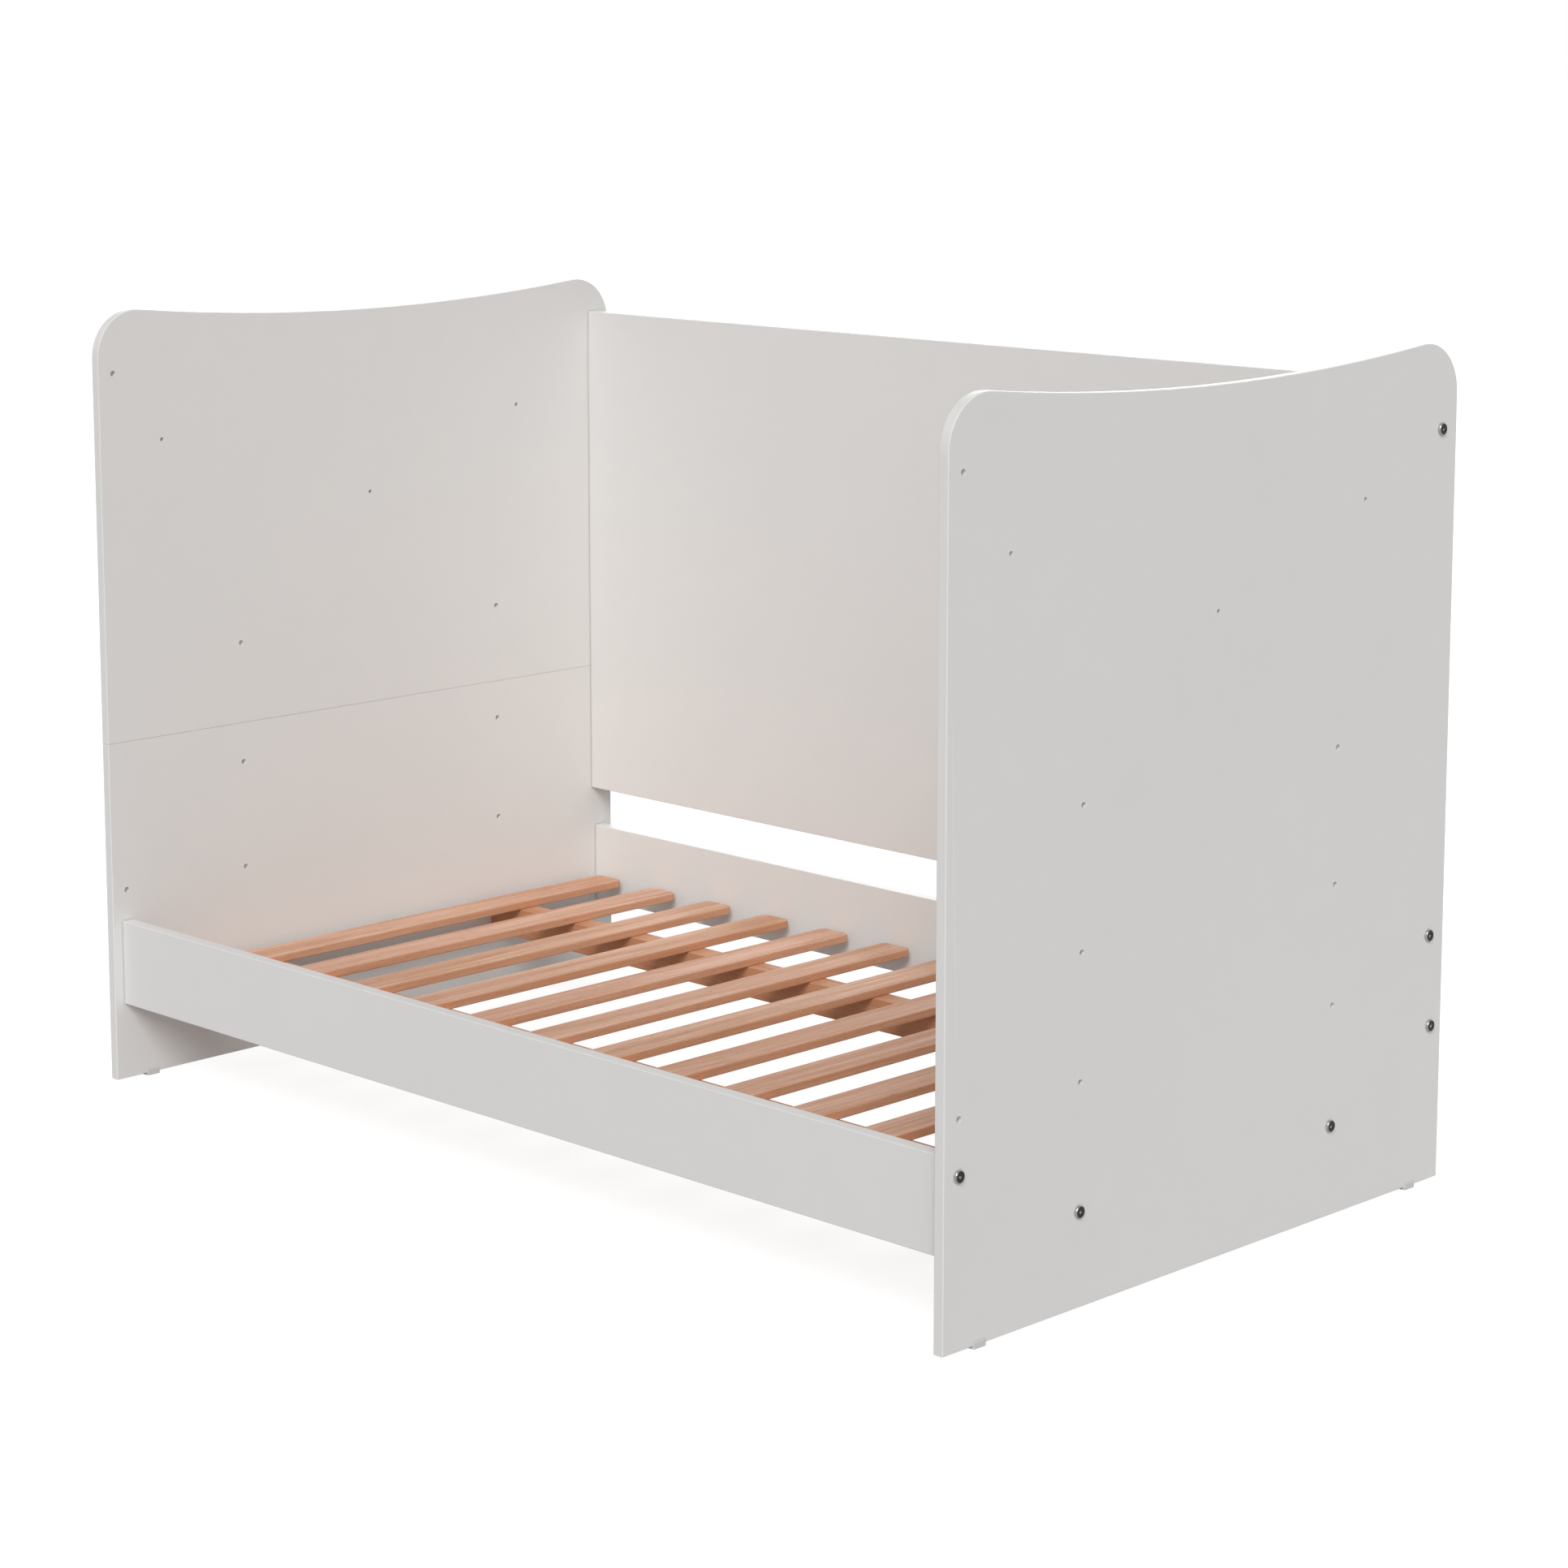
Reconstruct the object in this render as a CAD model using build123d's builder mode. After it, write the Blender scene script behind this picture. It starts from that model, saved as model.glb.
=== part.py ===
"""Toddler bed: two shaped end panels, a back panel, two rails and a slatted base, bolted together.

The origin is on the floor at the middle of the bed. +X runs from the head panel to the foot panel,
+Y to the back panel and +Z up. Millimetres.
"""
from build123d import *
import os

# Overall layout
BASE_LENGTH = 1310.0  # clear length between the end panels, for a 1300 mm mattress
PANEL_DEPTH = 793.0  # front to back, of an end panel
GLIDE_HEIGHT = 3.0  # what the glides lift the end panels off the floor

# Painted boards
END_THICKNESS = 12.0
BOARD_THICKNESS = 15.0  # back panel and both rails
ARRIS_RADIUS = 1.0  # softened edge of every painted board
SEAM_CHAMFER = 0.6

# End panels
SHOULDER_HEIGHT = 918.3  # where the top arc would meet the sides, before the corners are rounded
DIP_HEIGHT = 893.5  # top edge at mid-depth
CORNER_RADIUS = 54.0
SEAM_HEIGHT = 406.5  # head panel only: it is two boards

# Rails and back panel
RAIL_SETBACK = 13.0  # outer face of a rail, in from the edge of the end panels
RAIL_BOTTOM = 93.5
RAIL_HEIGHT = 100.0
BACK_SETBACK = 19.0  # back face of the back panel, in from the edge of the end panels
BACK_BOTTOM = 244.5
BACK_HEIGHT = 625.0

# Slatted base
BEARER_WIDTH = 28.0
BEARER_HEIGHT = 38.0
BEARER_OFFSET = 201.5  # middle of a bearer, from the middle of the bed
BEARER_BOTTOM = 81.5
BEARER_ARRIS = 1.5
SLAT_COUNT = 13
SLAT_WIDTH = 45.0
SLAT_THICKNESS = 10.0
SLAT_LENGTH = 724.0  # short enough to pass the back panel on the way to the higher positions
SLAT_PITCH = 103.2
SLAT_CORNER = 8.0
SLAT_ARRIS = 1.5

# Bolts and barrel nuts
BOLT_RADIUS = 3.0
BOLT_LENGTH = 50.0  # under the head
BOLT_HEAD_RADIUS = 6.5
BOLT_HEAD_HEIGHT = 3.0
BOLT_HEAD_ROUND = 1.4
HEX_KEY = 4.0  # across flats
HEX_DEPTH = 2.0
CLEARANCE_RADIUS = 3.5
NUT_RADIUS = 5.0
NUT_INSET = 32.0  # middle of a barrel nut, in from the end of its board
BOARD_NUT_LENGTH = 12.0
BEARER_NUT_LENGTH = 16.0
NUT_SLOT_WIDTH = 1.2
NUT_SLOT_DEPTH = 1.5
RAIL_BOLT_HEIGHT = 175.0
BACK_BOLT_HEIGHTS = (275.5, 820.5)

# Empty holes in both end panels
CRIB_SIDE_HEIGHTS = (230.0, 839.5)
CRIB_SIDE_HOLE_RADIUS = 3.5
BASE_HEIGHTS = (230.0, 359.0, 504.0)  # higher positions for the bearers' bolts
BASE_HOLE_RADIUS = 3.25
ACCESSORY_POINTS = ((-309.5, 758.0), (0.0, 668.5), (239.0, 758.0))
ACCESSORY_HOLE_RADIUS = 2.5

# Dowels
DOWEL_RADIUS = 4.0
DOWEL_LENGTH = 30.0
DOWEL_IN_PANEL = 8.0
DOWEL_CHAMFER = 0.8
RAIL_DOWEL_HEIGHT = 118.0
SEAM_DOWEL_RADIUS = 3.0
SEAM_DOWEL_LENGTH = 40.0
SEAM_DOWEL_POINTS = (-350.0, -120.0, 120.0, 340.0)

# Screws that hold the slats, from under the bearers
SCREW_RADIUS = 1.75
SCREW_LENGTH = 25.0
SCREW_HEAD_RADIUS = 3.5
SCREW_HEAD_HEIGHT = 2.4
SCREW_IN_SLAT = 7.0
SCREW_SOCKET_WIDTH = 1.0
SCREW_SOCKET_LENGTH = 3.6
SCREW_SOCKET_DEPTH = 1.2
SCREW_CLEARANCE = 2.1
SCREW_BORE_RADIUS = 4.5
END_SCREW_SHIFT = 15.0  # the end slats' screws stand this far in, to clear the bearers' bolts

# Glides
GLIDE_LENGTH = 17.0
GLIDE_WALL = 1.6
GLIDE_LIP = 4.0  # how far its two sides reach up the board
GLIDE_INSET = 51.0  # middle of a glide, in from the edge of the panel
GLIDE_ROUND = 0.6
PEG_RADIUS = 2.5
PEG_LENGTH = 12.0

# Places worked out from the sizes above
HALF_LENGTH = BASE_LENGTH / 2
HALF_DEPTH = PANEL_DEPTH / 2
OUTER_X = HALF_LENGTH + END_THICKNESS
RAIL_Y = HALF_DEPTH - RAIL_SETBACK - BOARD_THICKNESS / 2
BACK_Y = HALF_DEPTH - BACK_SETBACK - BOARD_THICKNESS / 2
BEARER_BOLT_HEIGHT = BEARER_BOTTOM + BEARER_HEIGHT / 2
SLAT_BOTTOM = BEARER_BOTTOM + BEARER_HEIGHT
FIRST_SLAT_X = -SLAT_PITCH * (SLAT_COUNT - 1) / 2
SLAT_XS = [FIRST_SLAT_X + SLAT_PITCH * index for index in range(SLAT_COUNT)]
SCREW_XS = [SLAT_XS[0] + END_SCREW_SHIFT, *SLAT_XS[1:-1], SLAT_XS[-1] - END_SCREW_SHIFT]
GLIDE_Y = HALF_DEPTH - GLIDE_INSET
SCREW_HEAD_SEAT = SLAT_BOTTOM + SCREW_IN_SLAT - SCREW_LENGTH
HEAD = -1
FOOT = 1
ENDS = (HEAD, FOOT)
FRONT = -1
BACK = 1

BOLT_POINTS = {
    "front_rail": [(-RAIL_Y, RAIL_BOLT_HEIGHT)],
    "back_rail": [(RAIL_Y, RAIL_BOLT_HEIGHT)],
    "back_panel": [(BACK_Y, height) for height in BACK_BOLT_HEIGHTS],
    "base": [(side * BEARER_OFFSET, BEARER_BOLT_HEIGHT) for side in (FRONT, BACK)],
}
RAIL_DOWEL_POINTS = {
    "front_rail": (-RAIL_Y, RAIL_DOWEL_HEIGHT),
    "back_rail": (RAIL_Y, RAIL_DOWEL_HEIGHT),
}


def end_plane(x, end, y, z):
    """A plane square to the length of the bed, facing out at that end."""
    return Plane(origin=(x, y, z), x_dir=(0, 1, 0), z_dir=(end, 0, 0))


def save(piece, label):
    piece.part.label = label
    export_step(piece.part, f"parts/{label}.step")


# ---------------------------------------------------------------- end panels


def end_panel(end, keep=None):
    """An end panel's board with its softened edges; keep says which side of the seam."""
    middle_x = end * (HALF_LENGTH + END_THICKNESS / 2)
    with BuildPart() as panel:
        with BuildSketch(Plane.YZ.offset(middle_x)) as outline:
            with BuildLine():
                Polyline(
                    (-HALF_DEPTH, SHOULDER_HEIGHT),
                    (-HALF_DEPTH, GLIDE_HEIGHT),
                    (HALF_DEPTH, GLIDE_HEIGHT),
                    (HALF_DEPTH, SHOULDER_HEIGHT),
                )
                ThreePointArc(
                    (HALF_DEPTH, SHOULDER_HEIGHT),
                    (0, DIP_HEIGHT),
                    (-HALF_DEPTH, SHOULDER_HEIGHT),
                )
            make_face()
            fillet(outline.vertices().group_by(Axis.Y)[-1], CORNER_RADIUS)
        extrude(amount=END_THICKNESS / 2, both=True)
        if keep is not None:
            split(bisect_by=Plane.XY.offset(SEAM_HEIGHT), keep=keep)
        faces = panel.faces().filter_by(Axis.X)
        rim = faces.edges().filter_by(lambda edge: abs(edge.center().Z - SEAM_HEIGHT) > 0.01)
        fillet(rim if keep is not None else faces.edges(), ARRIS_RADIUS)
        if keep is not None:
            seam = panel.faces().filter_by(Axis.Z).sort_by(Axis.Z)[0 if keep == Keep.TOP else -1]
            chamfer(seam.edges(), SEAM_CHAMFER)
    return panel


def drill_end_panel(panel, end, low, high):
    """Every hole of an end panel whose height is between low and high."""
    bolted = [point for points in BOLT_POINTS.values() for point in points]
    crib_side = [(-RAIL_Y, height) for height in CRIB_SIDE_HEIGHTS]
    base = [(side * BEARER_OFFSET, height) for side in (FRONT, BACK) for height in BASE_HEIGHTS]
    drillings = [
        (bolted, CLEARANCE_RADIUS),
        (crib_side, CRIB_SIDE_HOLE_RADIUS),
        (base, BASE_HOLE_RADIUS),
        (list(ACCESSORY_POINTS), ACCESSORY_HOLE_RADIUS),
    ]
    with panel:
        for points, radius in drillings:
            planes = [end_plane(end * OUTER_X, end, y, z) for y, z in points if low < z < high]
            if planes:
                with Locations(*planes):
                    Hole(radius, depth=END_THICKNESS)
        if low < RAIL_DOWEL_HEIGHT < high:
            with Locations(
                *[end_plane(end * HALF_LENGTH, -end, y, z) for y, z in RAIL_DOWEL_POINTS.values()]
            ):
                Hole(DOWEL_RADIUS, depth=DOWEL_IN_PANEL)
        if low < GLIDE_HEIGHT:
            middle_x = end * (HALF_LENGTH + END_THICKNESS / 2)
            with Locations(
                *[
                    Plane(origin=(middle_x, side * GLIDE_Y, GLIDE_HEIGHT), z_dir=(0, 0, -1))
                    for side in (FRONT, BACK)
                ]
            ):
                Hole(PEG_RADIUS, depth=PEG_LENGTH)


def drill_seam(panel, facing):
    """The seam dowels' bores in one board of the head panel; facing is +1 for the lower board."""
    middle_x = HEAD * (HALF_LENGTH + END_THICKNESS / 2)
    with panel:
        with Locations(
            *[
                Plane(origin=(middle_x, y, SEAM_HEIGHT), z_dir=(0, 0, facing))
                for y in SEAM_DOWEL_POINTS
            ]
        ):
            Hole(SEAM_DOWEL_RADIUS, depth=SEAM_DOWEL_LENGTH / 2)


# ---------------------------------------------------------------- rails and back panel


def cross_board(name, middle_y, bottom, height, nut_face):
    """A board between the end panels, bored for its bolts from the ends and its nuts from one face."""
    middle_z = bottom + height / 2
    with BuildPart() as board:
        with BuildSketch(Plane.YZ.offset(-HALF_LENGTH)):
            with Locations((middle_y, middle_z)):
                Rectangle(BOARD_THICKNESS, height)
        extrude(amount=BASE_LENGTH)
        fillet(board.edges().filter_by(Axis.X), ARRIS_RADIUS)
        face_y = middle_y + nut_face * BOARD_THICKNESS / 2
        nut_depth = (BOARD_THICKNESS + BOARD_NUT_LENGTH) / 2
        for end in ENDS:
            for y, z in BOLT_POINTS[name]:
                with Locations(end_plane(end * HALF_LENGTH, end, y, z)):
                    Hole(CLEARANCE_RADIUS, depth=BOLT_LENGTH - END_THICKNESS + 2)
                nut_origin = (end * (HALF_LENGTH - NUT_INSET), face_y, z)
                with Locations(Plane(origin=nut_origin, z_dir=(0, nut_face, 0))):
                    Hole(NUT_RADIUS, depth=nut_depth)
            if name in RAIL_DOWEL_POINTS:
                y, z = RAIL_DOWEL_POINTS[name]
                with Locations(end_plane(end * HALF_LENGTH, end, y, z)):
                    Hole(DOWEL_RADIUS, depth=DOWEL_LENGTH - DOWEL_IN_PANEL)
    return board


# ---------------------------------------------------------------- slatted base


def bearer(side):
    """A lengthwise bearer, counterbored from below for the slats' screws."""
    middle_y = side * BEARER_OFFSET
    with BuildPart() as beam:
        with BuildSketch(Plane.YZ.offset(-HALF_LENGTH)):
            with Locations((middle_y, BEARER_BOLT_HEIGHT)):
                Rectangle(BEARER_WIDTH, BEARER_HEIGHT)
        extrude(amount=BASE_LENGTH)
        fillet(beam.edges().filter_by(Axis.X), BEARER_ARRIS)
        for end in ENDS:
            with Locations(end_plane(end * HALF_LENGTH, end, middle_y, BEARER_BOLT_HEIGHT)):
                Hole(CLEARANCE_RADIUS, depth=BOLT_LENGTH - END_THICKNESS + 2)
            nut_origin = (end * (HALF_LENGTH - NUT_INSET), middle_y, BEARER_BOTTOM)
            with Locations(Plane(origin=nut_origin, z_dir=(0, 0, -1))):
                Hole(NUT_RADIUS, depth=(BEARER_HEIGHT + BEARER_NUT_LENGTH) / 2)
        with Locations(
            *[Plane(origin=(x, middle_y, BEARER_BOTTOM), z_dir=(0, 0, -1)) for x in SCREW_XS]
        ):
            CounterBoreHole(
                SCREW_CLEARANCE, SCREW_BORE_RADIUS, SCREW_HEAD_SEAT - BEARER_BOTTOM, BEARER_HEIGHT
            )
    return beam


def slat(x, screw_x):
    """One slat, with blind pilot holes for its screws in its underside."""
    with BuildPart() as strip:
        with BuildSketch(Plane.XY.offset(SLAT_BOTTOM)):
            with Locations((x, 0)):
                RectangleRounded(SLAT_WIDTH, SLAT_LENGTH, SLAT_CORNER)
        extrude(amount=SLAT_THICKNESS)
        fillet(strip.faces().filter_by(Axis.Z).edges(), SLAT_ARRIS)
        with Locations(
            *[
                Plane(origin=(screw_x, side * BEARER_OFFSET, SLAT_BOTTOM), z_dir=(0, 0, -1))
                for side in (FRONT, BACK)
            ]
        ):
            Hole(SCREW_RADIUS, depth=SCREW_IN_SLAT)
    return strip


# ---------------------------------------------------------------- fasteners


def bolt():
    """A connector bolt along +Z: the underside of its head is on the XY plane."""
    with BuildPart() as one:
        Cylinder(BOLT_HEAD_RADIUS, BOLT_HEAD_HEIGHT, align=(Align.CENTER, Align.CENTER, Align.MIN))
        fillet(one.edges().group_by(Axis.Z)[-1], BOLT_HEAD_ROUND)
        with BuildSketch(Plane.XY.offset(BOLT_HEAD_HEIGHT)):
            RegularPolygon(HEX_KEY / 2, 6, major_radius=False)
        extrude(amount=-HEX_DEPTH, mode=Mode.SUBTRACT)
        Cylinder(BOLT_RADIUS, BOLT_LENGTH, align=(Align.CENTER, Align.CENTER, Align.MAX))
        chamfer(one.edges().group_by(Axis.Z)[0], BOLT_RADIUS / 5)
    return one.part


def barrel_nut(length):
    """A barrel nut along Z, threaded along X, with a slot in its upper end to turn it by."""
    with BuildPart() as one:
        Cylinder(NUT_RADIUS, length)
        Cylinder(BOLT_RADIUS, 2 * NUT_RADIUS + 1, rotation=(0, 90, 0), mode=Mode.SUBTRACT)
        with BuildSketch(Plane.XY.offset(length / 2)):
            Rectangle(2 * NUT_RADIUS + 1, NUT_SLOT_WIDTH)
        extrude(amount=-NUT_SLOT_DEPTH, mode=Mode.SUBTRACT)
    return one.part


def dowel(radius, length):
    with BuildPart() as one:
        Cylinder(radius, length)
        chamfer(one.edges(), DOWEL_CHAMFER)
    return one.part


def slat_screw():
    """A pan-head screw that points up: the underside of its head is on the XY plane."""
    with BuildPart() as one:
        Cylinder(SCREW_HEAD_RADIUS, SCREW_HEAD_HEIGHT, align=(Align.CENTER, Align.CENTER, Align.MAX))
        with BuildSketch(Plane.XY.offset(-SCREW_HEAD_HEIGHT)):
            Rectangle(SCREW_SOCKET_LENGTH, SCREW_SOCKET_WIDTH)
            Rectangle(SCREW_SOCKET_WIDTH, SCREW_SOCKET_LENGTH)
        extrude(amount=SCREW_SOCKET_DEPTH, mode=Mode.SUBTRACT)
        Cylinder(SCREW_RADIUS, SCREW_LENGTH, align=(Align.CENTER, Align.CENTER, Align.MIN))
        chamfer(one.edges().group_by(Axis.Z)[-1], SCREW_RADIUS / 2)
    return one.part


def group(piece, planes):
    """Copies of one fastener, one on each plane."""
    with BuildPart() as copies:
        with Locations(*planes):
            add(piece)
    return copies


def bolt_planes(name):
    return [end_plane(end * OUTER_X, end, y, z) for end in ENDS for y, z in BOLT_POINTS[name]]


def nut_planes(name, facing):
    """Planes whose Z looks out of the nuts' bores and whose X runs along the bolts."""
    return [
        Plane(origin=(end * (HALF_LENGTH - NUT_INSET), y, z), x_dir=(1, 0, 0), z_dir=facing)
        for end in ENDS
        for y, z in BOLT_POINTS[name]
    ]


def rail_dowel_planes(name):
    y, z = RAIL_DOWEL_POINTS[name]
    middle_x = HALF_LENGTH + DOWEL_IN_PANEL - DOWEL_LENGTH / 2
    return [end_plane(end * middle_x, end, y, z) for end in ENDS]


# ---------------------------------------------------------------- glides


def glide(end, side):
    """A moulded glide: a U that grips the board's bottom edge, with a peg up into the board."""
    middle_x = end * (HALF_LENGTH + END_THICKNESS / 2)
    middle_y = side * GLIDE_Y
    width = END_THICKNESS + 2 * GLIDE_WALL
    with BuildPart() as clip:
        with BuildSketch(Plane.XY):
            with Locations((middle_x, middle_y)):
                Rectangle(width, GLIDE_LENGTH)
        extrude(amount=GLIDE_HEIGHT + GLIDE_LIP)
        fillet(clip.edges().filter_by(Axis.Z), GLIDE_ROUND)
        fillet(clip.faces().sort_by(Axis.Z)[-1].edges(), GLIDE_ROUND)
        with BuildSketch(Plane.XY.offset(GLIDE_HEIGHT)):
            with Locations((middle_x, middle_y)):
                Rectangle(END_THICKNESS, GLIDE_LENGTH)
        extrude(amount=GLIDE_LIP, mode=Mode.SUBTRACT)
        with BuildSketch(Plane.XY.offset(GLIDE_HEIGHT)):
            with Locations((middle_x, middle_y)):
                Circle(PEG_RADIUS)
        extrude(amount=PEG_LENGTH)
    return clip


# ---------------------------------------------------------------- the bed

os.makedirs("parts", exist_ok=True)
TOP = SHOULDER_HEIGHT

foot_panel = end_panel(FOOT)
drill_end_panel(foot_panel, FOOT, 0, TOP)
save(foot_panel, "foot_panel")

head_panel_lower = end_panel(HEAD, Keep.BOTTOM)
drill_end_panel(head_panel_lower, HEAD, 0, SEAM_HEIGHT)
drill_seam(head_panel_lower, 1)
save(head_panel_lower, "head_panel_lower")

head_panel_upper = end_panel(HEAD, Keep.TOP)
drill_end_panel(head_panel_upper, HEAD, SEAM_HEIGHT, TOP)
drill_seam(head_panel_upper, -1)
save(head_panel_upper, "head_panel_upper")

# The nuts' bores open on the sides of the boards that a person in front of the bed doesn't see.
save(cross_board("front_rail", -RAIL_Y, RAIL_BOTTOM, RAIL_HEIGHT, BACK), "front_rail")
save(cross_board("back_rail", RAIL_Y, RAIL_BOTTOM, RAIL_HEIGHT, BACK), "back_rail")
save(cross_board("back_panel", BACK_Y, BACK_BOTTOM, BACK_HEIGHT, BACK), "back_panel")

save(bearer(FRONT), "bearer_front")
save(bearer(BACK), "bearer_back")
for number, (slat_x, screw_x) in enumerate(zip(SLAT_XS, SCREW_XS), start=1):
    save(slat(slat_x, screw_x), f"slat_{number:02d}")

for name in BOLT_POINTS:
    save(group(bolt(), bolt_planes(name)), f"{name}_bolts")
for name in ("front_rail", "back_rail", "back_panel"):
    save(group(barrel_nut(BOARD_NUT_LENGTH), nut_planes(name, (0, 1, 0))), f"{name}_nuts")
save(group(barrel_nut(BEARER_NUT_LENGTH), nut_planes("base", (0, 0, -1))), "base_nuts")

for name in RAIL_DOWEL_POINTS:
    save(group(dowel(DOWEL_RADIUS, DOWEL_LENGTH), rail_dowel_planes(name)), f"{name}_dowels")
seam_x = HEAD * (HALF_LENGTH + END_THICKNESS / 2)
seam_planes = [Plane(origin=(seam_x, y, SEAM_HEIGHT), z_dir=(0, 0, 1)) for y in SEAM_DOWEL_POINTS]
save(group(dowel(SEAM_DOWEL_RADIUS, SEAM_DOWEL_LENGTH), seam_planes), "seam_dowels")

screw_planes = [
    Plane(origin=(x, side * BEARER_OFFSET, SCREW_HEAD_SEAT), z_dir=(0, 0, 1))
    for side in (FRONT, BACK)
    for x in SCREW_XS
]
save(group(slat_screw(), screw_planes), "slat_screws")

for end, end_name in ((HEAD, "head"), (FOOT, "foot")):
    for side, side_name in ((FRONT, "front"), (BACK, "back")):
        save(glide(end, side), f"glide_{end_name}_{side_name}")
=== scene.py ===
"""Looks, light and camera for the toddler bed. Metres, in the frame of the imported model."""
import math

import bpy
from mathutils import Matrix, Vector


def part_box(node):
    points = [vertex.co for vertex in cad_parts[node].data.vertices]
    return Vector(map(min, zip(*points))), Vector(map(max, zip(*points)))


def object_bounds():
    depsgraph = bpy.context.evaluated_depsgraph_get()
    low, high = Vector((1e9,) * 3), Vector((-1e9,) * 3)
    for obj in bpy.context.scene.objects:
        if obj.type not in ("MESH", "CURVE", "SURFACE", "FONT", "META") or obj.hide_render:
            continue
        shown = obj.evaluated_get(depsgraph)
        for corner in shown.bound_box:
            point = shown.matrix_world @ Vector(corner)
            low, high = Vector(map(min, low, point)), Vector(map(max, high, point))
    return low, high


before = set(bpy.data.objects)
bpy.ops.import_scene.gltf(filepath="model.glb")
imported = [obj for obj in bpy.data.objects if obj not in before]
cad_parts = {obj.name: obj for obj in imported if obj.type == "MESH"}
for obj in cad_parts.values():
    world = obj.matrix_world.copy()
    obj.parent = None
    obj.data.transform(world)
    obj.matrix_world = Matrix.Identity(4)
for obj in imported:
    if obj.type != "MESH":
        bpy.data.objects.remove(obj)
cad_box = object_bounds()

X, Y = 0, 1  # axes by number

BOARDS = ("head_panel_upper", "head_panel_lower", "foot_panel", "back_panel", "back_rail", "front_rail")
BEARERS = ("bearer_front", "bearer_back")
BOLTS = ("front_rail_bolts", "back_rail_bolts", "back_panel_bolts", "base_bolts")
NUTS = ("front_rail_nuts", "back_rail_nuts", "back_panel_nuts", "base_nuts")
DOWELS = ("front_rail_dowels", "back_rail_dowels", "seam_dowels")
SLATS = sorted(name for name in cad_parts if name[:5] == "slat_" and name[5:].isdigit())
GLIDES = sorted(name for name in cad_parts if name.startswith("glide_"))

# Base colours, linear
PAINT = (0.800, 0.790, 0.775)
SLAT_DARK = (0.560, 0.268, 0.145)
SLAT_LIGHT = (0.835, 0.573, 0.440)
BEARER_DARK = (0.470, 0.205, 0.105)
BEARER_LIGHT = (0.740, 0.420, 0.260)
DOWEL_DARK = (0.52, 0.37, 0.22)
DOWEL_LIGHT = (0.74, 0.57, 0.38)
BOLT_METAL = (0.66, 0.655, 0.645)
# painted dark reflection for the tops of the bolts' heads
BOLT_DARK_REFLECTION = (0.100, 0.097, 0.090)
ZINC = (0.58, 0.59, 0.60)
YELLOW_ZINC = (0.56, 0.50, 0.36)
GLIDE_WHITE = (0.68, 0.67, 0.65)
GLIDE_SCUFF = (0.50, 0.50, 0.48)
FLOOR_WHITE = (0.32, 0.32, 0.32)
PLAIN_WHITE = (1.0, 1.0, 1.0)

# Tints, as factors of red, green and blue
WARMER_PAINT = (1.012, 1.009, 1.003)
COOLER_PAINT = (0.986, 0.988, 0.992)
PINKER_SLAT = (1.00, 0.960, 0.955)
DEEPER_SLAT = (0.955, 0.915, 0.865)
# painted shade and warm bounce light on the sides of the slats and bearers
SIDE_SHADE_TINT = (1.12, 1.00, 0.85)

# Fineness of the layers of the grain, per metre: across the grain and along it
GRAIN_BANDS = (62.0, 1.6)
GRAIN_STREAKS = (420.0, 5.5)
GRAIN_FIBRES = (1500.0, 26.0)
GRAIN_PORES = (1100.0, 70.0)
GRAIN_DRIFT = 0.018  # how far the grain wanders, at most
FIGURE_JUMP = (7.3, 9.1, 5.7)  # how far off, at most, a slat's figure is taken from

# Reach of the painted highlight on paint and metal edges and of the darker wood edges, and of the painted
# shade in gaps and holes
PAINT_EDGE_HIGHLIGHT = 0.0016
WOOD_EDGE = 0.0018
METAL_EDGE_HIGHLIGHT = 0.0005
CREVICE_SHADE_REACH = 0.003

FLOOR_RADIUS = 60.0
FLOOR_SIDES = 96
FLOOR_GLOW = 0.16
FLOOR_GLOW_SEEN = 0.84  # as the camera sees it
WORLD_LIGHT = 0.345
WORLD_ABOVE = (0.74, 0.78, 0.85)
WORLD_LEVEL = (1.13, 1.10, 1.05)
LAMPS = {  # where each comes from, its softness in degrees across and its strength
    "key": ((0.48, -0.62, 0.62), 28.0, 1.90),
    "fill": ((0.80, -0.35, 0.50), 60.0, 0.36),
    "back": ((-0.65, 0.72, 0.22), 50.0, 1.75),
}

CAMERA_PLACE = (2.975, -2.927, 1.2625)
CAMERA_TURN = 44.861  # degrees, anticlockwise from +Y
CAMERA_PITCH = 8.875  # degrees down
CAMERA_LENS = 87.278  # millimetres
CAMERA_SHIFT = -0.12


# ---------------------------------------------------------------- colours


def scaled(colour, factor):
    """A lighter or darker colour, with no part of it above 1."""
    return tuple(min(1.0, value * factor) for value in colour)


def tinted(colour, tint):
    return tuple(value * factor for value, factor in zip(colour, tint))


def halfway(first, second):
    return tuple((a + b) / 2 for a, b in zip(first, second))


# ---------------------------------------------------------------- node helpers


def new_material(name):
    """A material with an empty node tree, its Principled shader and its output."""
    material = bpy.data.materials.new(name)
    material.use_nodes = True
    tree = material.node_tree
    tree.nodes.clear()
    shader = tree.nodes.new("ShaderNodeBsdfPrincipled")
    output = tree.nodes.new("ShaderNodeOutputMaterial")
    tree.links.new(shader.outputs["BSDF"], output.inputs["Surface"])
    return material, tree, shader


def put(tree, socket, value):
    """Links a socket to another node's output, or sets its constant."""
    if isinstance(value, bpy.types.NodeSocket):
        tree.links.new(value, socket)
    elif isinstance(value, tuple) and len(value) == 3 and len(socket.default_value) == 4:
        socket.default_value = (*value, 1.0)
    else:
        socket.default_value = value


def node(tree, kind, inputs=None, **settings):
    """A new node with its settings and its inputs, which are given by name or by number."""
    made = tree.nodes.new(kind)
    for name, value in settings.items():
        setattr(made, name, value)
    for key, value in (inputs or {}).items():
        put(tree, made.inputs[key], value)
    return made


def math_node(tree, operation, first, second=0.0):
    return node(tree, "ShaderNodeMath", {0: first, 1: second}, operation=operation).outputs[0]


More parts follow.
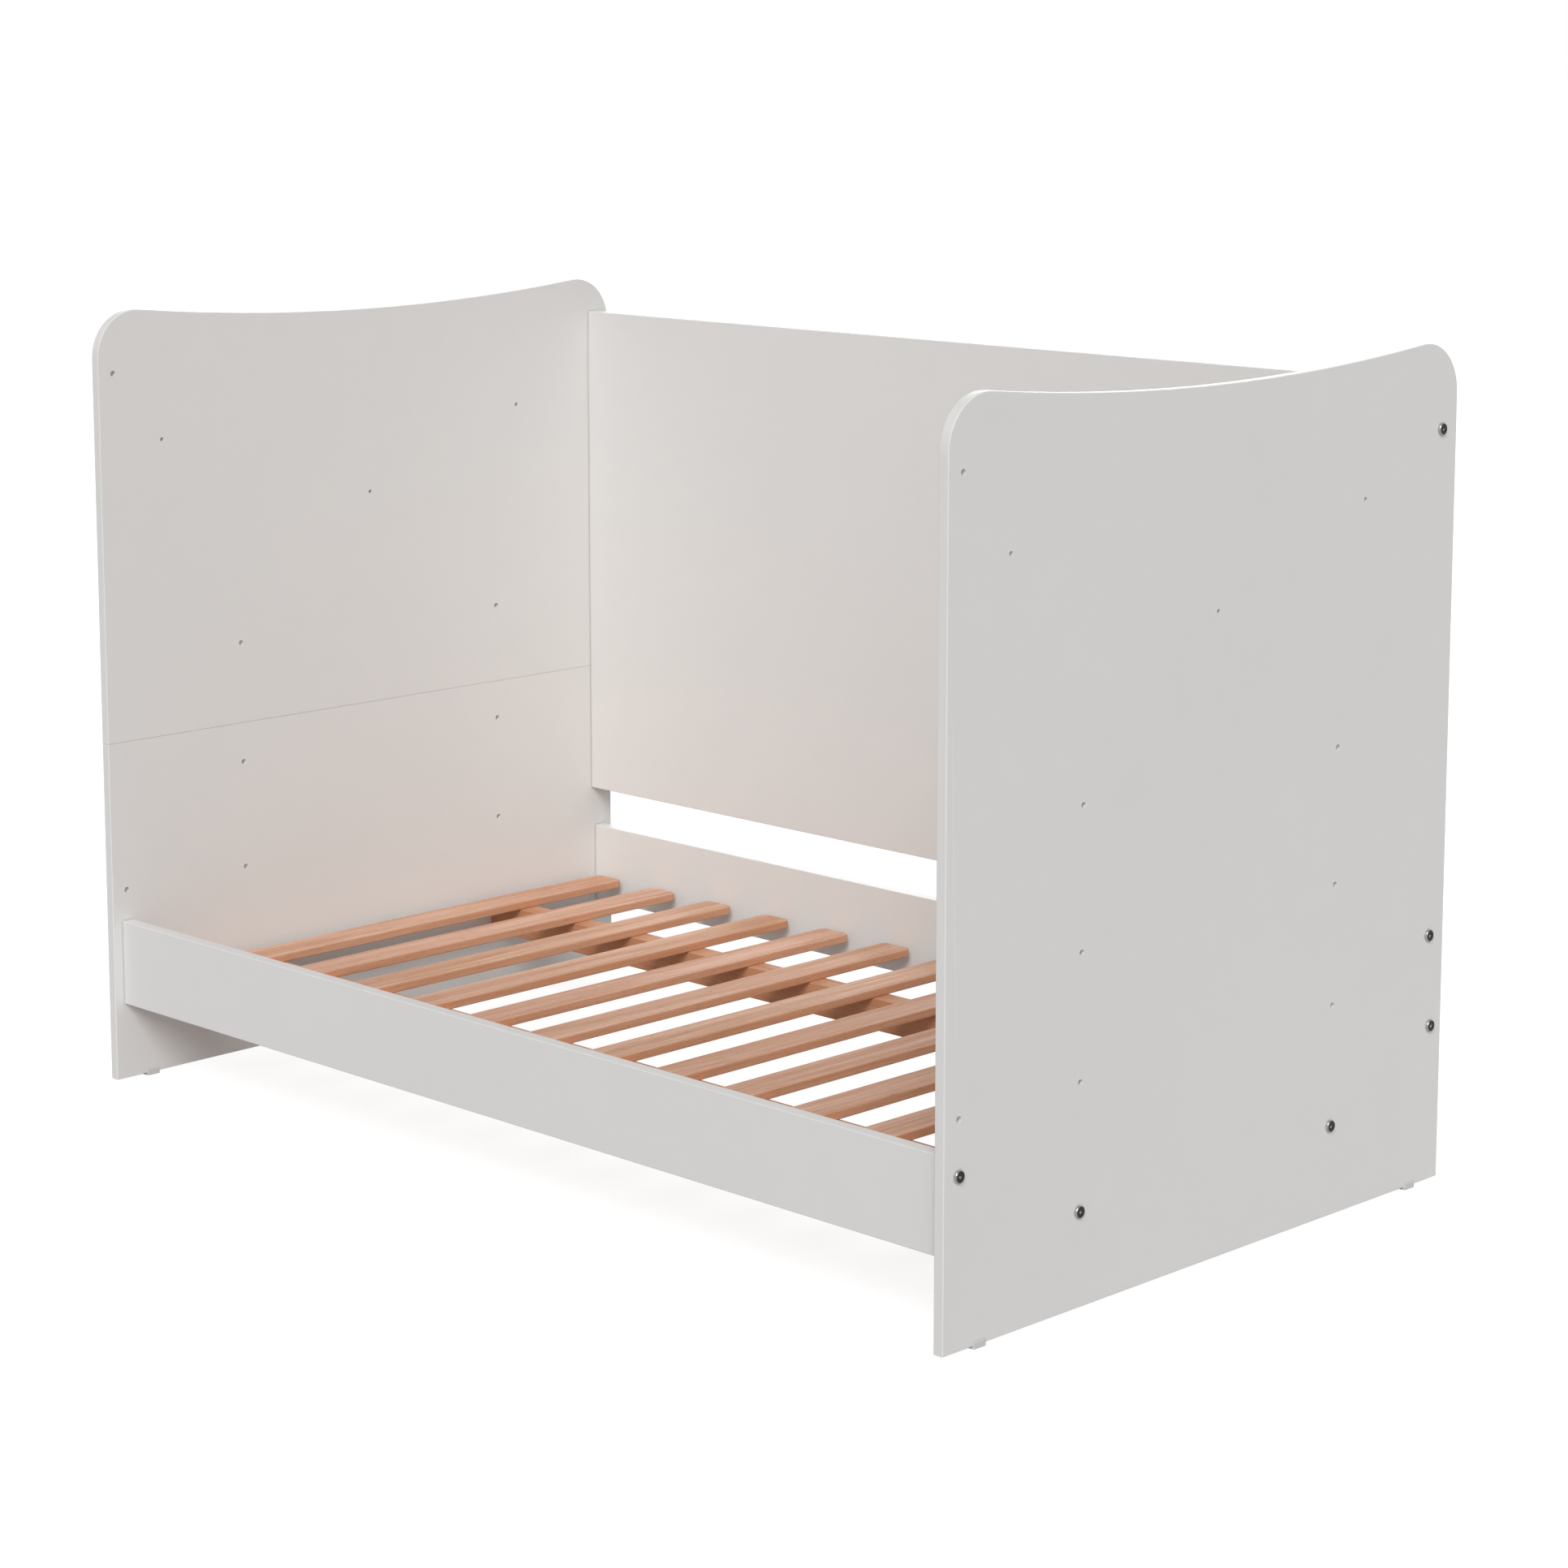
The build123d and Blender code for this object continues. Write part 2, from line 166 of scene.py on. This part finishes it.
def vector_node(tree, operation, first, second, output="Vector"):
    made = node(tree, "ShaderNodeVectorMath", {0: first, 1: second}, operation=operation)
    return made.outputs[output]


def weighted_sum(tree, *parts):
    """The sum of some values, each given with its weight."""
    terms = [math_node(tree, "MULTIPLY", value, weight) for value, weight in parts]
    total = terms[0]
    for term in terms[1:]:
        total = math_node(tree, "ADD", total, term)
    return total


def place(tree):
    """Where a point of the object is, in metres."""
    return tree.nodes.new("ShaderNodeTexCoord").outputs["Object"]


def facing(tree, axis):
    """How squarely a surface faces along an axis, either way, from 0 to 1."""
    normal = tree.nodes.new("ShaderNodeNewGeometry").outputs["Normal"]
    return math_node(tree, "ABSOLUTE", node(tree, "ShaderNodeSeparateXYZ", {0: normal}).outputs[axis])


def seen_by_camera(tree):
    """1 for what the camera sees directly, and 0 for the light that reaches the bed."""
    return tree.nodes.new("ShaderNodeLightPath").outputs["Is Camera Ray"]


def noise(tree, vector, scale=1.0, detail=2.0, roughness=0.5, distortion=0.0):
    inputs = {
        "Vector": vector,
        "Scale": scale,
        "Detail": detail,
        "Roughness": roughness,
        "Distortion": distortion,
    }
    return node(tree, "ShaderNodeTexNoise", inputs).outputs["Fac"]


def ramp(tree, factor, *stops):
    """A colour ramp; each stop is a place from 0 to 1 and a linear colour."""
    made = node(tree, "ShaderNodeValToRGB", {"Fac": factor})
    elements = made.color_ramp.elements
    while len(elements) < len(stops):
        elements.new(0.5)
    for element, (position, colour) in zip(elements, stops):
        element.position = position
        element.color = (*colour, 1.0)
    return made.outputs["Color"]


def remap(tree, value, low, high, source=(0.0, 1.0)):
    """A value carried from its source range to the range from low to high, and kept inside it."""
    inputs = {"Value": value, "From Min": source[0], "From Max": source[1], "To Min": low, "To Max": high}
    return node(tree, "ShaderNodeMapRange", inputs).outputs["Result"]


def mixed(tree, factor, first, second, blend="MIX"):
    made = node(tree, "ShaderNodeMix", data_type="RGBA", blend_type=blend)
    put(tree, made.inputs["Factor"], factor)
    put(tree, made.inputs[6], first)
    put(tree, made.inputs[7], second)
    return made.outputs[2]


def partly(tree, mask, strength, first, second):
    """The first colour, with some of the second where the mask is high."""
    return mixed(tree, math_node(tree, "MULTIPLY", mask, strength), first, second)


def bump(tree, height, distance, strength, under=None):
    inputs = {"Height": height, "Distance": distance, "Strength": strength}
    if under is not None:
        inputs["Normal"] = under
    return node(tree, "ShaderNodeBump", inputs).outputs["Normal"]


def edge_mask(tree, radius):
    """From 0 on the flats to 1 on the sharpest edges, by how far a rounded normal leans."""
    rounded = node(tree, "ShaderNodeBevel", {"Radius": radius}, samples=6).outputs["Normal"]
    true = tree.nodes.new("ShaderNodeNewGeometry").outputs["Normal"]
    lean = vector_node(tree, "DOT_PRODUCT", rounded, true, "Value")
    return remap(tree, lean, 0.0, 1.0, (0.995, 0.80))


def painted_crevice_shade(tree, reach):
    """Painted shade: from 0 in the open to 0.6 in narrow gaps, seams and holes, by ambient occlusion."""
    around = node(tree, "ShaderNodeAmbientOcclusion", {"Distance": reach}, samples=6).outputs["AO"]
    return remap(tree, around, 0.6, 0.0, (0.45, 0.92))


# ---------------------------------------------------------------- painted boards


def painted_board():
    """Fibreboard with a satin paint: faint orange peel and slow changes of tone, with a painted
    highlight on the edges and painted shade in the crevices."""
    material, tree, shader = new_material("painted_board")
    at = place(tree)
    slow = noise(tree, at, scale=2.6, detail=3.0, roughness=0.55)
    cloudy = noise(tree, at, scale=21.0, detail=4.0, roughness=0.6)
    specks = remap(tree, noise(tree, at, scale=900.0, roughness=0.6), 0.0, 0.05, (0.45, 0.75))
    tone = weighted_sum(tree, (slow, 0.6), (cloudy, 0.4))
    base = ramp(tree, tone, (0.30, tinted(PAINT, COOLER_PAINT)), (0.70, tinted(PAINT, WARMER_PAINT)))
    base = mixed(tree, specks, base, scaled(PAINT, 0.9))
    # Painted highlight: the paint lightened on its sharp edges.
    base = partly(tree, edge_mask(tree, PAINT_EDGE_HIGHLIGHT), 0.45, base, scaled(PAINT, 1.03))
    # Painted shade: the paint darkened in gaps, seams and holes.
    base = mixed(tree, painted_crevice_shade(tree, CREVICE_SHADE_REACH), base, scaled(PAINT, 0.45))
    peel = bump(tree, noise(tree, at, scale=620.0), distance=0.00012, strength=0.22)
    waves = bump(tree, noise(tree, at, scale=48.0), distance=0.0004, strength=0.10, under=peel)
    put(tree, shader.inputs["Base Color"], base)
    put(tree, shader.inputs["Roughness"], remap(tree, cloudy, 0.40, 0.50))
    put(tree, shader.inputs["Normal"], waves)
    shader.inputs["Specular IOR Level"].default_value = 0.42
    return material


# ---------------------------------------------------------------- wood


def own_figure(tree, at, first_piece, pieces_apart):
    """Takes each board's figure from a place of its own. The boards are counted along X. Gives the
    new places, and a random number from 0 to 1 for each board."""
    x = node(tree, "ShaderNodeSeparateXYZ", {0: at}).outputs["X"]
    counted = math_node(tree, "DIVIDE", math_node(tree, "SUBTRACT", x, first_piece), pieces_apart)
    number = math_node(tree, "ROUND", counted)
    chance = node(tree, "ShaderNodeTexWhiteNoise", {"W": number}, noise_dimensions="1D")
    jump = vector_node(tree, "MULTIPLY", chance.outputs["Color"], FIGURE_JUMP)
    return vector_node(tree, "ADD", at, jump), chance.outputs["Value"]


def drifting(tree, at):
    """Places pushed gently aside, so that the grain isn't dead straight."""
    drift = node(tree, "ShaderNodeTexNoise", {"Vector": at, "Scale": 3.5, "Detail": 1.0})
    push = vector_node(tree, "MULTIPLY", drift.outputs["Color"], (GRAIN_DRIFT, GRAIN_DRIFT, GRAIN_DRIFT))
    return vector_node(tree, "ADD", at, push)


def grain_layer(tree, at, along, fineness, **settings):
    """Noise drawn out along the grain."""
    across, lengthwise = fineness
    scale = [across, across, across]
    scale[along] = lengthwise
    return noise(tree, vector_node(tree, "MULTIPLY", at, tuple(scale)), **settings)


def wood(name, dark, light, along, pieces=None):
    """Sanded hardwood. along is the grain's axis, X or Y. For a row of boards, pieces is where the
    first stands along X and how far apart they are: each then gets its own figure and tone."""
    material, tree, shader = new_material(name)
    at = place(tree)
    if pieces:
        at, chance = own_figure(tree, at, *pieces)
    wandering = drifting(tree, at)
    bands = grain_layer(tree, wandering, along, GRAIN_BANDS, detail=3.0, roughness=0.55, distortion=0.4)
    streaks = grain_layer(tree, wandering, along, GRAIN_STREAKS, detail=3.0, roughness=0.62)
    fibres = grain_layer(tree, at, along, GRAIN_FIBRES, roughness=0.6)
    pores = remap(tree, grain_layer(tree, at, along, GRAIN_PORES, detail=1.0), 0.0, 1.0, (0.62, 0.74))
    figure = weighted_sum(tree, (bands, 0.50), (streaks, 0.34), (fibres, 0.16))
    base = ramp(tree, figure, (0.33, dark), (0.50, halfway(dark, light)), (0.62, light))
    if pieces:
        pinker = mixed(tree, 1.0, base, PINKER_SLAT, "MULTIPLY")
        deeper = mixed(tree, 1.0, base, DEEPER_SLAT, "MULTIPLY")
        base = mixed(tree, chance, pinker, deeper)
    base = partly(tree, pores, 0.60, base, scaled(dark, 0.62))
    end_grain = remap(tree, facing(tree, along), 0.0, 0.35, (0.55, 0.95))
    base = mixed(tree, end_grain, base, scaled(dark, 0.75))
    # Painted shade and warm bounce light: the faces that look along the side axis, such as the slats'
    # sides, are made darker and redder.
    side = Y if along == X else X
    side_shade = remap(tree, facing(tree, side), 0.0, 0.55, (0.30, 0.80))
    base = mixed(tree, side_shade, base, tinted(dark, SIDE_SHADE_TINT))
    base = partly(tree, edge_mask(tree, WOOD_EDGE), 0.40, base, scaled(dark, 1.10))
    rough = bump(tree, fibres, distance=0.00025, strength=0.35)
    put(tree, shader.inputs["Base Color"], base)
    put(tree, shader.inputs["Roughness"], remap(tree, streaks, 0.68, 0.52))
    put(tree, shader.inputs["Normal"], bump(tree, streaks, distance=0.0006, strength=0.18, under=rough))
    shader.inputs["Specular IOR Level"].default_value = 0.35
    return material


# ---------------------------------------------------------------- metal and plastic


def plated_metal(name, colour, roughness, dark_reflection=None):
    """Plated steel: fine turned marks, faint cloudy stains and painted highlights on the edges. The
    fourth argument, if given, is a painted dark reflection: the darker colour of surfaces that look along
    X, such as the tops of the bolts' heads."""
    material, tree, shader = new_material(name)
    at = place(tree)
    cloudy = noise(tree, at, scale=420.0, detail=3.0, roughness=0.6)
    marks = noise(tree, vector_node(tree, "MULTIPLY", at, (600.0, 5200.0, 5200.0)), roughness=0.6)
    stains = remap(tree, cloudy, 0.0, 1.0, (0.35, 0.70))
    base = mixed(tree, stains, scaled(colour, 0.78), colour)
    # Painted dark reflection on the surfaces that look along X, such as the tops of the bolts' heads.
    if dark_reflection:
        base = mixed(tree, remap(tree, facing(tree, X), 0.0, 1.0, (0.86, 0.97)), base, dark_reflection)
    # Painted highlight: edges lightened to 1.9 times the colour, for the bolts 1.9 times their painted
    # dark reflection.
    base = partly(tree, edge_mask(tree, METAL_EDGE_HIGHLIGHT), 0.5, base, scaled(dark_reflection or colour, 1.9))
    put(tree, shader.inputs["Base Color"], base)
    put(tree, shader.inputs["Roughness"], remap(tree, marks, roughness * 0.8, roughness * 1.3))
    put(tree, shader.inputs["Normal"], bump(tree, marks, distance=0.00004, strength=0.25))
    shader.inputs["Metallic"].default_value = 1.0
    return material


def moulded_plastic():
    """White polyethylene: a fine spark-eroded texture, a few scuffs and a faintly waxy depth."""
    material, tree, shader = new_material("glide_plastic")
    at = place(tree)
    cloudy = noise(tree, at, scale=160.0, detail=3.0, roughness=0.6)
    scratches = noise(tree, vector_node(tree, "MULTIPLY", at, (300.0, 2500.0, 900.0)))
    base = ramp(tree, cloudy, (0.3, scaled(GLIDE_WHITE, 0.95)), (0.7, GLIDE_WHITE))
    base = mixed(tree, remap(tree, scratches, 0.0, 0.3, (0.58, 0.72)), base, GLIDE_SCUFF)
    sparked = bump(tree, noise(tree, at, scale=2600.0), distance=0.00006, strength=0.35)
    put(tree, shader.inputs["Base Color"], base)
    put(tree, shader.inputs["Roughness"], remap(tree, cloudy, 0.42, 0.55))
    put(tree, shader.inputs["Normal"], sparked)
    shader.inputs["Subsurface Weight"].default_value = 0.08
    shader.inputs["Subsurface Scale"].default_value = 0.002
    return material


# ---------------------------------------------------------------- dressing the bed


def dress(names, material):
    """Gives each CAD node its material."""
    for name in names:
        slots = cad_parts[name].data.materials
        slots.clear()
        slots.append(material)


def middle(name):
    low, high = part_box(name)
    return (low + high) / 2


def dress_all():
    first, second = middle(SLATS[0]).x, middle(SLATS[1]).x
    dress(BOARDS, painted_board())
    dress(SLATS, wood("slat_wood", SLAT_DARK, SLAT_LIGHT, Y, (first, second - first)))
    dress(BEARERS, wood("bearer_wood", BEARER_DARK, BEARER_LIGHT, X))
    dress(DOWELS, wood("dowel_wood", DOWEL_DARK, DOWEL_LIGHT, X))
    dress(BOLTS, plated_metal("bolt_metal", BOLT_METAL, 0.22, BOLT_DARK_REFLECTION))
    dress(NUTS, plated_metal("nut_metal", ZINC, 0.34))
    dress(["slat_screws"], plated_metal("screw_metal", YELLOW_ZINC, 0.32))
    dress(GLIDES, moulded_plastic())


# ---------------------------------------------------------------- studio


def studio_floor():
    """A pale floor that glows a little, and that the camera sees washed out to white."""
    material, tree, shader = new_material("studio_floor")
    tone = noise(tree, place(tree), scale=1.3)
    base = ramp(tree, tone, (0.2, FLOOR_WHITE), (0.8, scaled(FLOOR_WHITE, 1.01)))
    glow = remap(tree, seen_by_camera(tree), FLOOR_GLOW, FLOOR_GLOW_SEEN)
    put(tree, shader.inputs["Base Color"], base)
    put(tree, shader.inputs["Emission Color"], PLAIN_WHITE)
    put(tree, shader.inputs["Emission Strength"], glow)
    shader.inputs["Roughness"].default_value = 0.9
    shader.inputs["Specular IOR Level"].default_value = 0.1
    return material


def make_floor():
    bpy.ops.mesh.primitive_circle_add(vertices=FLOOR_SIDES, radius=FLOOR_RADIUS, fill_type="NGON")
    floor = bpy.context.object
    floor.name = "studio_floor"
    floor.location.z = cad_box[0].z
    floor.data.materials.append(studio_floor())


def make_world():
    """An even white studio, slightly cooler overhead; the camera sees it as plain white."""
    world = bpy.data.worlds.new("studio")
    bpy.context.scene.world = world
    world.use_nodes = True
    tree = world.node_tree
    tree.nodes.clear()
    direction = tree.nodes.new("ShaderNodeTexCoord").outputs["Generated"]
    height = node(tree, "ShaderNodeSeparateXYZ", {0: direction}).outputs["Z"]
    sky = ramp(tree, height, (0.1, WORLD_LEVEL), (0.9, WORLD_ABOVE))
    lamp = node(tree, "ShaderNodeBackground", {"Color": sky, "Strength": WORLD_LIGHT})
    plain = node(tree, "ShaderNodeBackground", {"Color": PLAIN_WHITE, "Strength": 1.0})
    choices = {0: seen_by_camera(tree), 1: lamp.outputs["Background"], 2: plain.outputs["Background"]}
    either = node(tree, "ShaderNodeMixShader", choices)
    node(tree, "ShaderNodeOutputWorld", {"Surface": either.outputs["Shader"]})


def make_lamps():
    for name, (direction, softness, strength) in LAMPS.items():
        light = bpy.data.lights.new(name, "SUN")
        light.angle = math.radians(softness)
        light.energy = strength
        lamp = bpy.data.objects.new(name, light)
        bpy.context.scene.collection.objects.link(lamp)
        lamp.rotation_euler = Vector(direction).to_track_quat("Z", "Y").to_euler()


def make_camera():
    data = bpy.data.cameras.new("camera")
    data.lens = CAMERA_LENS
    data.shift_y = CAMERA_SHIFT
    camera = bpy.data.objects.new("camera", data)
    bpy.context.scene.collection.objects.link(camera)
    camera.location = CAMERA_PLACE
    camera.rotation_euler = (math.radians(90.0 - CAMERA_PITCH), 0.0, math.radians(CAMERA_TURN))
    bpy.context.scene.camera = camera


dress_all()
make_floor()
make_world()
make_lamps()
make_camera()
bpy.context.scene.view_settings.view_transform = "Standard"
